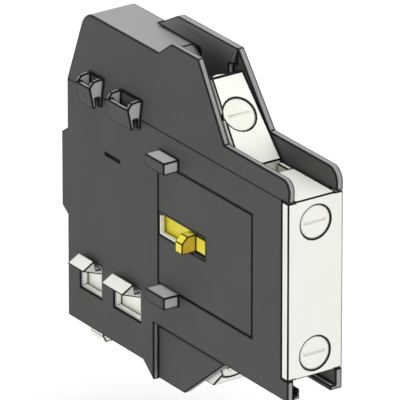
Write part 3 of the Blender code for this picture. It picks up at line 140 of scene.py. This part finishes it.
@dataclass(frozen=True)
class Finish:
    """One surface finish, built as a procedural material.

    The colour is linear. Grain is the height of the moulded texture in metres, and its size is
    the number of grains in a metre. The line is the dark band along each sharp edge.
    """

    name: str
    colour: Colour
    roughness: float = 0.45
    metallic: float = 0.0
    grain: float = 0.000012
    grain_size: float = 2600.0
    mottle: float = 0.05
    # Strength of the painted shade: how far ambient occlusion darkens the colour in creases
    crease_shade: float = 0.35
    gloss: float = 0.3
    line: Colour = INK
    line_width: float = 0.0

    def material(self) -> bpy.types.Material:
        """Return this finish's material, building it the first time.

        Returns:
            The node material, named after the finish.
        """
        found = bpy.data.materials.get(self.name)
        if found is not None:
            return found
        made = bpy.data.materials.new(self.name)
        made.use_nodes = True
        made.diffuse_color = (*self.colour, 1.0)
        self._wire(made.node_tree)
        return made

    def _wire(self, tree: bpy.types.NodeTree) -> None:
        """Wire the colour, the polish and the moulded grain into the surface shader.

        Args:
            tree: The material's node tree.
        """
        shader = tree.nodes["Principled BSDF"]
        shader.inputs["Metallic"].default_value = self.metallic
        shader.inputs["Specular IOR Level"].default_value = self.gloss
        place = tree.nodes.new("ShaderNodeTexCoord")
        colour = self._tinted(tree, place, self._mottled(tree, place))
        # Painted shade in creases and seams, from ambient occlusion
        colour = self._painted_crease_shade(tree, colour)
        if self.line_width > 0.0:
            colour = self._lined(tree, colour)
        tree.links.new(colour, shader.inputs["Base Color"])
        fine = tree.nodes.new("ShaderNodeTexNoise")
        fine.inputs["Scale"].default_value = self.grain_size
        fine.inputs["Detail"].default_value = GRAIN_DETAIL
        tree.links.new(place.outputs["Object"], fine.inputs["Vector"])
        polish = tree.nodes.new("ShaderNodeMapRange")
        polish.inputs["To Min"].default_value = self.roughness - POLISH_SPREAD
        polish.inputs["To Max"].default_value = self.roughness + POLISH_SPREAD
        tree.links.new(fine.outputs["Fac"], polish.inputs["Value"])
        tree.links.new(polish.outputs["Result"], shader.inputs["Roughness"])
        bump = tree.nodes.new("ShaderNodeBump")
        bump.inputs["Distance"].default_value = self.grain
        bump.inputs["Strength"].default_value = GRAIN_STRENGTH
        tree.links.new(fine.outputs["Fac"], bump.inputs["Height"])
        tree.links.new(bump.outputs["Normal"], shader.inputs["Normal"])

    def _mottled(
        self, tree: bpy.types.NodeTree, place: bpy.types.Node
    ) -> bpy.types.NodeSocket:
        """Vary the colour a little over the surface, as moulded plastic and plating do.

        Args:
            tree: The material's node tree.
            place: The texture coordinate node.

        Returns:
            The colour output.
        """
        broad = tree.nodes.new("ShaderNodeTexNoise")
        broad.inputs["Scale"].default_value = MOTTLE_SCALE
        broad.inputs["Detail"].default_value = MOTTLE_DETAIL
        tree.links.new(place.outputs["Object"], broad.inputs["Vector"])
        ramp = tree.nodes.new("ShaderNodeValToRGB")
        levels = (1.0 - self.mottle, 1.0 + self.mottle)
        for stop, position, level in zip(ramp.color_ramp.elements, MOTTLE_RAMP, levels):
            stop.position = position
            stop.color = (*(min(1.0, level * part) for part in self.colour), 1.0)
        tree.links.new(broad.outputs["Fac"], ramp.inputs["Fac"])
        return ramp.outputs["Color"]

    def _tinted(
        self, tree: bpy.types.NodeTree, place: bpy.types.Node, colour: bpy.types.NodeSocket
    ) -> bpy.types.NodeSocket:
        """Return the colour, which some kinds of finish change by place or direction."""
        return colour

    def _painted_crease_shade(
        self, tree: bpy.types.NodeTree, colour: bpy.types.NodeSocket
    ) -> bpy.types.NodeSocket:
        """Paint shade into creases and seams: darken the colour by ambient occlusion.

        Args:
            tree: The material's node tree.
            colour: The colour of the open surface.

        Returns:
            The colour output.
        """
        # Ambient occlusion, painted into the colour as shade
        hollow = tree.nodes.new("ShaderNodeAmbientOcclusion")
        hollow.samples = CREASE_SHADE_SAMPLES
        hollow.inputs["Distance"].default_value = CREASE_SHADE_REACH
        mask = tree.nodes.new("ShaderNodeMapRange")
        mask.inputs["To Min"].default_value = 1.0 - self.crease_shade
        tree.links.new(hollow.outputs["AO"], mask.inputs["Value"])
        mix = tree.nodes.new("ShaderNodeMix")
        mix.data_type = "RGBA"
        mix.blend_type = "MULTIPLY"
        mix.inputs["Factor"].default_value = 1.0
        tree.links.new(colour, mix.inputs["A"])
        tree.links.new(mask.outputs["Result"], mix.inputs["B"])
        return mix.outputs["Result"]

    def _lined(
        self, tree: bpy.types.NodeTree, colour: bpy.types.NodeSocket
    ) -> bpy.types.NodeSocket:
        """Darken the narrow band along each sharp edge.

        The band is where the normal of a rounded edge would differ from the face's own.

        Args:
            tree: The material's node tree.
            colour: The colour away from the edges.

        Returns:
            The colour output.
        """
        rounded = tree.nodes.new("ShaderNodeBevel")
        rounded.samples = LINE_SAMPLES
        rounded.inputs["Radius"].default_value = self.line_width
        surface = tree.nodes.new("ShaderNodeNewGeometry")
        agreement = tree.nodes.new("ShaderNodeVectorMath")
        agreement.operation = "DOT_PRODUCT"
        tree.links.new(rounded.outputs["Normal"], agreement.inputs[0])
        tree.links.new(surface.outputs["Normal"], agreement.inputs[1])
        edge = span(tree, agreement.outputs["Value"], EDGE_BAND)
        return blend(tree, edge, colour, self.line)


def span(
    tree: bpy.types.NodeTree, value: bpy.types.NodeSocket, band: Band
) -> bpy.types.NodeSocket:
    """Turn a value into a share between 0 and 1.

    Args:
        tree: The material's node tree.
        value: The value.
        band: The value that gives 0 and the value that gives 1.

    Returns:
        The share's output.
    """
    share = tree.nodes.new("ShaderNodeMapRange")
    share.inputs["From Min"].default_value = band[0]
    share.inputs["From Max"].default_value = band[1]
    tree.links.new(value, share.inputs["Value"])
    return share.outputs["Result"]


def reckon(
    tree: bpy.types.NodeTree,
    operation: str,
    first: bpy.types.NodeSocket,
    second: bpy.types.NodeSocket | float = 0.0,
) -> bpy.types.NodeSocket:
    """Join one or two values with a named operation.

    Args:
        tree: The node tree of a material or the world.
        operation: The math node's operation.
        first: The first value.
        second: The second value, an output or a number.

    Returns:
        The result's output.
    """
    node = tree.nodes.new("ShaderNodeMath")
    node.operation = operation
    tree.links.new(first, node.inputs[0])
    if isinstance(second, float):
        node.inputs[1].default_value = second
    else:
        tree.links.new(second, node.inputs[1])
    return node.outputs["Value"]


def blend(
    tree: bpy.types.NodeTree,
    share: bpy.types.NodeSocket,
    under: bpy.types.NodeSocket,
    over: Colour,
) -> bpy.types.NodeSocket:
    """Lay one colour over another.

    Args:
        tree: The material's node tree.
        share: How much of the upper colour shows.
        under: The lower colour.
        over: The upper colour.

    Returns:
        The colour output.
    """
    mix = tree.nodes.new("ShaderNodeMix")
    mix.data_type = "RGBA"
    tree.links.new(share, mix.inputs["Factor"])
    tree.links.new(under, mix.inputs["A"])
    mix.inputs["B"].default_value = (*over, 1.0)
    return mix.outputs["Result"]


def parts_of(tree: bpy.types.NodeTree, vector: bpy.types.NodeSocket) -> bpy.types.Node:
    """Split a vector into its three parts.

    Args:
        tree: The material's node tree.
        vector: The vector's output.

    Returns:
        The node whose outputs are X, Y and Z.
    """
    split = tree.nodes.new("ShaderNodeSeparateXYZ")
    tree.links.new(vector, split.inputs["Vector"])
    return split


@dataclass(frozen=True)
class SideLine:
    """A dark line painted along the casing's near side, at a height and with a width in
    metres.

    It lies only on faces whose place across the block is between shallow and deep.
    """

    height: float
    width: float
    shallow: float
    deep: float

    def mark(self, tree: bpy.types.NodeTree, where: bpy.types.Node) -> bpy.types.NodeSocket:
        """Find the line's place.

        Args:
            tree: The material's node tree.
            where: The node that gives the place's three parts.

        Returns:
            The line's share, from 0 away from it to 1 on it.
        """
        away = reckon(tree, "SUBTRACT", where.outputs["Z"], self.height)
        band = (SIDE_LINE_BAND[0] * self.width, SIDE_LINE_BAND[1] * self.width)
        near = span(tree, reckon(tree, "ABSOLUTE", away), band)
        past = reckon(tree, "GREATER_THAN", where.outputs["X"], self.shallow)
        short = reckon(tree, "LESS_THAN", where.outputs["X"], self.deep)
        return reckon(tree, "MULTIPLY", near, reckon(tree, "MULTIPLY", past, short))


@dataclass(frozen=True)
class ShellFinish(Finish):
    """The casing's finish, with painted light: end faces painted pale as if lit, paler still
    where they stand out of its near side.
    """

    # Painted light: the pale of the faces that don't look to either side, as if lit
    lit_end_faces: Colour = (0.30, 0.305, 0.303)
    # Painted light: paler still where those faces stand out of the near side
    lit_outstanding_faces: Colour = (0.50, 0.505, 0.503)
    side_lines: tuple[SideLine, ...] = (
        # A dark line along the bend of the near side, and a painted shadow under the step of
        # the lower flange
        SideLine(18.975 * MILLIMETRE, 0.34 * MILLIMETRE, -0.1 * MILLIMETRE, 2.0 * MILLIMETRE),
        SideLine(-22.55 * MILLIMETRE, 0.60 * MILLIMETRE, 0.6 * MILLIMETRE, 1.6 * MILLIMETRE),
    )

    def _tinted(
        self, tree: bpy.types.NodeTree, place: bpy.types.Node, colour: bpy.types.NodeSocket
    ) -> bpy.types.NodeSocket:
        """Paint light on the end faces, and paint the dark lines along the near side: one
        along its bend, one a painted shadow under its lower step.

        Args:
            tree: The material's node tree.
            place: The texture coordinate node.
            colour: The colour of the broad sides.

        Returns:
            The colour output.
        """
        facing = parts_of(tree, place.outputs["Normal"])
        where = parts_of(tree, place.outputs["Object"])
        # Painted light on the end faces
        end = span(tree, reckon(tree, "ABSOLUTE", facing.outputs["X"]), END_FACE_BAND)
        colour = blend(tree, end, colour, self.lit_end_faces)
        # Painted light, stronger on the faces that stand out of the near side
        out = span(tree, where.outputs["X"], STANDING_OUT_BAND)
        colour = blend(tree, reckon(tree, "MULTIPLY", end, out), colour, self.lit_outstanding_faces)
        near_side = span(tree, facing.outputs["X"], NEAR_SIDE_BAND)
        # The dark line along the bend, and the painted shadow under the lower flange's step
        for side_line in self.side_lines:
            mark = reckon(tree, "MULTIPLY", side_line.mark(tree, where), near_side)
            colour = blend(tree, mark, colour, self.line)
        return colour


@dataclass(frozen=True)
class CoverFinish(Finish):
    """The cream mouldings' finish, with painted light: a little brighter on the faces that
    look up, as if lit from above.
    """

    # Painted light: the brighter cream of the faces that look up
    upper: Colour = (0.95, 0.955, 0.88)

    def _tinted(
        self, tree: bpy.types.NodeTree, place: bpy.types.Node, colour: bpy.types.NodeSocket
    ) -> bpy.types.NodeSocket:
        """Paint light on the faces that look up.

        Args:
            tree: The material's node tree.
            place: The texture coordinate node.
            colour: The colour of the upright faces.

        Returns:
            The colour output.
        """
        facing = parts_of(tree, place.outputs["Normal"])
        return blend(tree, span(tree, facing.outputs["Z"], UPWARD_BAND), colour, self.upper)


@dataclass(frozen=True)
class LiningFinish(Finish):
    """The window lining's finish: pale at its rear and foot, dark at its head and front."""

    head: float = 1.4 * MILLIMETRE
    front: float = 12.6 * MILLIMETRE
    shell: Colour = (0.02, 0.02, 0.019)

    def _tinted(
        self, tree: bpy.types.NodeTree, place: bpy.types.Node, colour: bpy.types.NodeSocket
    ) -> bpy.types.NodeSocket:
        """Darken the head and the front part of the lining.

        Args:
            tree: The material's node tree.
            place: The texture coordinate node.
            colour: The lining's own colour.

        Returns:
            The colour output.
        """
        where = parts_of(tree, place.outputs["Object"])
        high = span(tree, where.outputs["Z"], (self.head, self.head + LINING_BLUR))
        forward = span(tree, where.outputs["Y"], (self.front, self.front - LINING_BLUR))
        return blend(tree, reckon(tree, "MAXIMUM", high, forward), colour, self.shell)


@dataclass(frozen=True)
class NubFinish(Finish):
    """The carrier's finish: yellow, with shade painted on the faces that look forward as a
    deeper yellow.
    """

    # Painted shade: the deeper yellow of the faces that look forward
    forward: Colour = (0.66, 0.46, 0.035)

    def _tinted(
        self, tree: bpy.types.NodeTree, place: bpy.types.Node, colour: bpy.types.NodeSocket
    ) -> bpy.types.NodeSocket:
        """Paint shade on the faces that look forward, as a deeper yellow.

        Args:
            tree: The material's node tree.
            place: The texture coordinate node.
            colour: The colour of the other faces.

        Returns:
            The colour output.
        """
        facing = parts_of(tree, place.outputs["Normal"])
        return blend(tree, span(tree, facing.outputs["Y"], FORWARD_BAND), colour, self.forward)


DARK = ShellFinish(
    "dark_moulding", (0.064, 0.064, 0.061), roughness=0.55, crease_shade=0.4, gloss=0.2,
    line_width=0.45 * MILLIMETRE)
CREAM = CoverFinish(
    "cream_moulding", (0.85, 0.86, 0.79), mottle=0.015, crease_shade=0.3,
    line_width=0.22 * MILLIMETRE)
WHITE_PART = Finish(
    "white_moulding", (0.87, 0.88, 0.82), mottle=0.015, crease_shade=0.3,
    line_width=0.35 * MILLIMETRE)
GUIDE = Finish(
    "guide_moulding", (0.87, 0.88, 0.82), mottle=0.015, line_width=0.14 * MILLIMETRE)
LINING = LiningFinish("window_lining", (0.90, 0.90, 0.88), mottle=0.01, crease_shade=0.1)
YELLOW = NubFinish(
    "yellow_moulding", (0.84, 0.72, 0.05), mottle=0.03, crease_shade=0.25,
    line_width=0.30 * MILLIMETRE)
ZINC = Finish(
    "zinc_plate", (0.88, 0.87, 0.80), roughness=0.4, metallic=0.15, grain=0.000004,
    mottle=0.03, crease_shade=0.2)
BRASS = Finish(
    "contact_brass", (0.72, 0.55, 0.27), roughness=0.32, metallic=0.95, grain=0.000003,
    mottle=0.08, gloss=0.5)
SPRING = Finish(
    "spring_wire", (0.50, 0.50, 0.51), roughness=0.28, metallic=1.0, grain=0.000002, gloss=0.5)
DARK_EDGE = Finish("dark_edge", INK, roughness=0.5, crease_shade=0.0, gloss=0.12)


def dress(node: str, finish: Finish) -> bpy.types.Object:
    """Give a CAD node its finish.

    Args:
        node: The node's name.
        finish: The finish of its only material slot.

    Returns:
        The node's object.
    """
    part = bpy.data.objects[node]
    part.data.materials.clear()
    part.data.materials.append(finish.material())
    LOG.info("%s dressed in %s", node, finish.name)
    return part


def smooth_rounds() -> bpy.types.NodeTree:
    """Return the group that shades round corners smoothly and leaves sharp edges sharp.

    Returns:
        The geometry node group, built the first time.
    """
    found = bpy.data.node_groups.get("smooth_rounds")
    if found is not None:
        return found
    group = bpy.data.node_groups.new("smooth_rounds", "GeometryNodeTree")
    group.interface.new_socket("Geometry", in_out="INPUT", socket_type="NodeSocketGeometry")
    group.interface.new_socket("Geometry", in_out="OUTPUT", socket_type="NodeSocketGeometry")
    start = group.nodes.new("NodeGroupInput")
    end = group.nodes.new("NodeGroupOutput")
    smooth = group.nodes.new("GeometryNodeSetShadeSmooth")
    smooth.domain = "FACE"
    smooth.inputs["Shade Smooth"].default_value = True
    sharp = group.nodes.new("GeometryNodeSetShadeSmooth")
    sharp.domain = "EDGE"
    sharp.inputs["Shade Smooth"].default_value = False
    bend = group.nodes.new("GeometryNodeInputMeshEdgeAngle")
    steep = group.nodes.new("FunctionNodeCompare")
    steep.data_type = "FLOAT"
    steep.operation = "GREATER_THAN"
    steep.inputs["B"].default_value = math.radians(ROUND_BEND)
    group.links.new(bend.outputs["Unsigned Angle"], steep.inputs["A"])
    group.links.new(start.outputs["Geometry"], smooth.inputs["Geometry"])
    group.links.new(smooth.outputs["Geometry"], sharp.inputs["Geometry"])
    group.links.new(steep.outputs["Result"], sharp.inputs["Selection"])
    group.links.new(sharp.outputs["Geometry"], end.inputs["Geometry"])
    return group


def soften(part: bpy.types.Object, width: float, edges: Edges = Edges.OWN) -> None:
    """Round a part's sharp edges as a mould does.

    Args:
        part: The part's object.
        width: The rounding in metres.
        edges: The finish of the rounding.
    """
    weld = part.modifiers.new("joined_faces", "WELD")
    weld.merge_threshold = JOIN_GAP
    whole = part.modifiers.new("whole_faces", "DECIMATE")
    whole.decimate_type = "DISSOLVE"
    whole.angle_limit = math.radians(FLAT_BEND)
    bevel = part.modifiers.new("rounded_edges", "BEVEL")
    bevel.width = width
    bevel.segments = ROUND_SEGMENTS
    bevel.limit_method = "ANGLE"
    bevel.angle_limit = math.radians(SHARP_BEND)
    bevel.use_clamp_overlap = False
    part.modifiers.new("smooth_rounds", "NODES").node_group = smooth_rounds()
    if edges is Edges.DARK:
        part.data.materials.append(DARK_EDGE.material())
        bevel.material = DARK_SLOT


@dataclass
class Casing:
    """The dark shell, its outer plate, the guide plate and the pale linings of its windows."""

    rounding: float = 0.20 * MILLIMETRE
    plate_rounding: float = 0.08 * MILLIMETRE
    shells: tuple[str, ...] = ("main_housing", "outer_cover")

    def build(self) -> None:
        """Dress the casing's pieces."""
        for node in self.shells:
            soften(dress(node, DARK), self.rounding, Edges.DARK)
        soften(dress("guide_plate", DARK), self.plate_rounding, Edges.DARK)
        dress("actuator_collar", LINING)
        dress("latch_guide", GUIDE)


@dataclass
class Terminals:
    """The cream mouldings and the four screw terminals."""

    rounding: float = 0.23 * MILLIMETRE
    metal_rounding: float = 0.10 * MILLIMETRE
    mouldings: tuple[str, ...] = ("terminal_frame", "front_cover")
    places: tuple[str, ...] = ("rear_upper", "rear_lower", "front_upper", "front_lower")

    def build(self) -> None:
        """Dress the mouldings, screws, clamps and strips."""
        for node in self.mouldings:
            soften(dress(node, CREAM), self.rounding, Edges.DARK)
        for place in self.places:
            soften(dress(place + "_screw", ZINC), self.metal_rounding)
            soften(dress(place + "_clamp", ZINC), self.metal_rounding)
            soften(dress(place + "_strip", BRASS), self.metal_rounding)


@dataclass
class Mechanism:
    """The yellow carrier with its bridges, the white latch, and the springs of both."""

    joints: list[dict[str, Any]]
    rounding: float = 0.15 * MILLIMETRE
    metal_rounding: float = 0.06 * MILLIMETRE

    def build(self) -> None:
        """Dress the moving pieces, and put in copies of the springs, each carried by its
        joint's parent body.
        """
        soften(dress("contact_carrier", YELLOW), self.rounding, Edges.DARK)
        soften(dress("latch_slider", WHITE_PART), self.rounding, Edges.DARK)
        for node in ("rear_bridge", "front_bridge"):
            soften(dress(node, BRASS), self.metal_rounding)
        for joint in self.joints:
            for row in joint.get("deforming_nodes", []):
                self._spring(row["node"], joint)

    def _spring(self, node: str, joint: dict[str, Any]) -> None:
        """Stand a copy of a spring's node in its place, carried by its joint's parent body.

        Args:
            node: The spring's node.
            joint: The joint whose parent body carries the copy; it slides along a world axis
                to the spring's fixed end.
        """
        part = dress(node, SPRING)
        coil = bpy.data.objects.new(node + "_coil", part.data.copy())
        bpy.context.scene.collection.objects.link(coil)
        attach(coil, joint["parent"])
        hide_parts(node)
        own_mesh(coil)


def outward(azimuth: float, elevation: float) -> Vector:
    """Give the unit vector from the object to a place round it.

    Args:
        azimuth: The place's direction round the object in degrees, with 0 in front.
        elevation: The place's height above the horizon in degrees.

    Returns:
        The unit vector.
    """
    turn = math.radians(azimuth)
    rise = math.radians(elevation)
    return Vector((
        math.sin(turn) * math.cos(rise),
        -math.cos(turn) * math.cos(rise),
        math.sin(rise),
    ))


def aim(thing: bpy.types.Object, away: Vector) -> None:
    """Turn a camera or a lamp to look back along the vector that leads out to it."""
    thing.rotation_euler = (-away).to_track_quat("-Z", "Y").to_euler()


@dataclass(frozen=True)
class Lamp:
    """A soft distant lamp: its angles in degrees and its strength in watts a square metre."""

    name: str
    azimuth: float
    elevation: float
    strength: float
    spread: float

    def build(self) -> None:
        """Hang the lamp."""
        data = bpy.data.lights.new(self.name, "SUN")
        data.energy = self.strength
        data.angle = math.radians(self.spread)
        lamp = bpy.data.objects.new(self.name, data)
        bpy.context.scene.collection.objects.link(lamp)
        away = outward(self.azimuth, self.elevation)
        lamp.location = away
        aim(lamp, away)


@dataclass
class Studio:
    """The camera at the drawing's angle, the plain surroundings and the pale floor."""

    azimuth: float = -34.26
    elevation: float = 23.16
    target: tuple[float, float, float] = (0.00625, 0.0187, 0.004775)
    field_width: float = 76.1 * MILLIMETRE
    lens: float = 800.0
    sensor: float = 36.0
    clip_end: float = 20.0
    floor_reach: float = 3.0
    floor_drop: float = 25.0 * MILLIMETRE
    floor_glow: float = 0.07
    surroundings: float = 0.40
    lamps: tuple[Lamp, ...] = (
        Lamp("overhead", azimuth=-34.0, elevation=75.0, strength=1.2, spread=30.0),
        Lamp("side", azimuth=-75.0, elevation=15.0, strength=0.85, spread=30.0),
        Lamp("front", azimuth=10.0, elevation=25.0, strength=0.6, spread=30.0),
        Lamp("rear_fill", azimuth=150.0, elevation=30.0, strength=0.6, spread=40.0),
    )

    def build(self) -> None:
        """Build the camera, the light and the floor."""
        self._camera()
        self._world()
        for lamp in self.lamps:
            lamp.build()
        self._floor()
        bpy.context.scene.view_settings.view_transform = "Standard"

    def _camera(self) -> None:
        """Place the long-lens camera that gives the drawing's parallel view."""
        data = bpy.data.cameras.new("camera")
        data.lens = self.lens
        data.sensor_width = self.sensor
        data.clip_end = self.clip_end
        camera = bpy.data.objects.new("camera", data)
        bpy.context.scene.collection.objects.link(camera)
        away = outward(self.azimuth, self.elevation)
        distance = self.field_width * self.lens / self.sensor
        camera.location = Vector(self.target) + away * distance
        aim(camera, away)
        bpy.context.scene.camera = camera

    def _world(self) -> None:
        """Light the object evenly, and show white behind it and in what it reflects."""
        world = bpy.data.worlds.new("surroundings")
        world.use_nodes = True
        tree = world.node_tree
        tree.nodes.clear()
        path = tree.nodes.new("ShaderNodeLightPath")
        seen = reckon(
            tree, "MAXIMUM", path.outputs["Is Camera Ray"], path.outputs["Is Glossy Ray"])
        through = reckon(tree, "MAXIMUM", seen, path.outputs["Is Transmission Ray"])
        level = tree.nodes.new("ShaderNodeMapRange")
        level.inputs["To Min"].default_value = self.surroundings
        level.inputs["To Max"].default_value = 1.0
        tree.links.new(through, level.inputs["Value"])
        back = tree.nodes.new("ShaderNodeBackground")
        back.inputs["Color"].default_value = WHITE
        tree.links.new(level.outputs["Result"], back.inputs["Strength"])
        out = tree.nodes.new("ShaderNodeOutputWorld")
        tree.links.new(back.outputs["Background"], out.inputs["Surface"])
        bpy.context.scene.world = world

    def _floor(self) -> None:
        """Lay the pale floor some way under the object."""
        low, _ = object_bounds()
        height = low[2] - self.floor_drop
        reach = self.floor_reach
        signs = ((-1, -1), (1, -1), (1, 1), (-1, 1))
        corners = [(reach * across, reach * along, height) for across, along in signs]
        mesh = bpy.data.meshes.new("floor")
        mesh.from_pydata(corners, [], [(0, 1, 2, 3)])
        mesh.materials.append(self._floor_material())
        floor = bpy.data.objects.new("floor", mesh)
        bpy.context.scene.collection.objects.link(floor)
        floor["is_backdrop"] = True

    def _floor_material(self) -> bpy.types.Material:
        """Build the floor's matt white, which glows a little for the camera alone.

        Returns:
            The node material.
        """
        material = bpy.data.materials.new("floor_white")
        material.use_nodes = True
        tree = material.node_tree
        shader = tree.nodes["Principled BSDF"]
        shader.inputs["Base Color"].default_value = FLOOR_WHITE
        shader.inputs["Emission Color"].default_value = WHITE
        shader.inputs["Roughness"].default_value = 1.0
        shader.inputs["Specular IOR Level"].default_value = 0.0
        path = tree.nodes.new("ShaderNodeLightPath")
        glow = tree.nodes.new("ShaderNodeMapRange")
        glow.inputs["To Max"].default_value = self.floor_glow
        tree.links.new(path.outputs["Is Camera Ray"], glow.inputs["Value"])
        tree.links.new(glow.outputs["Result"], shader.inputs["Emission Strength"])
        return material


def main() -> None:
    """Load the frame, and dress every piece."""
    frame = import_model()
    for assembly in (Casing(), Terminals(), Mechanism(frame["joints"]), Studio()):
        assembly.build()


if __name__ == "__main__":
    main()
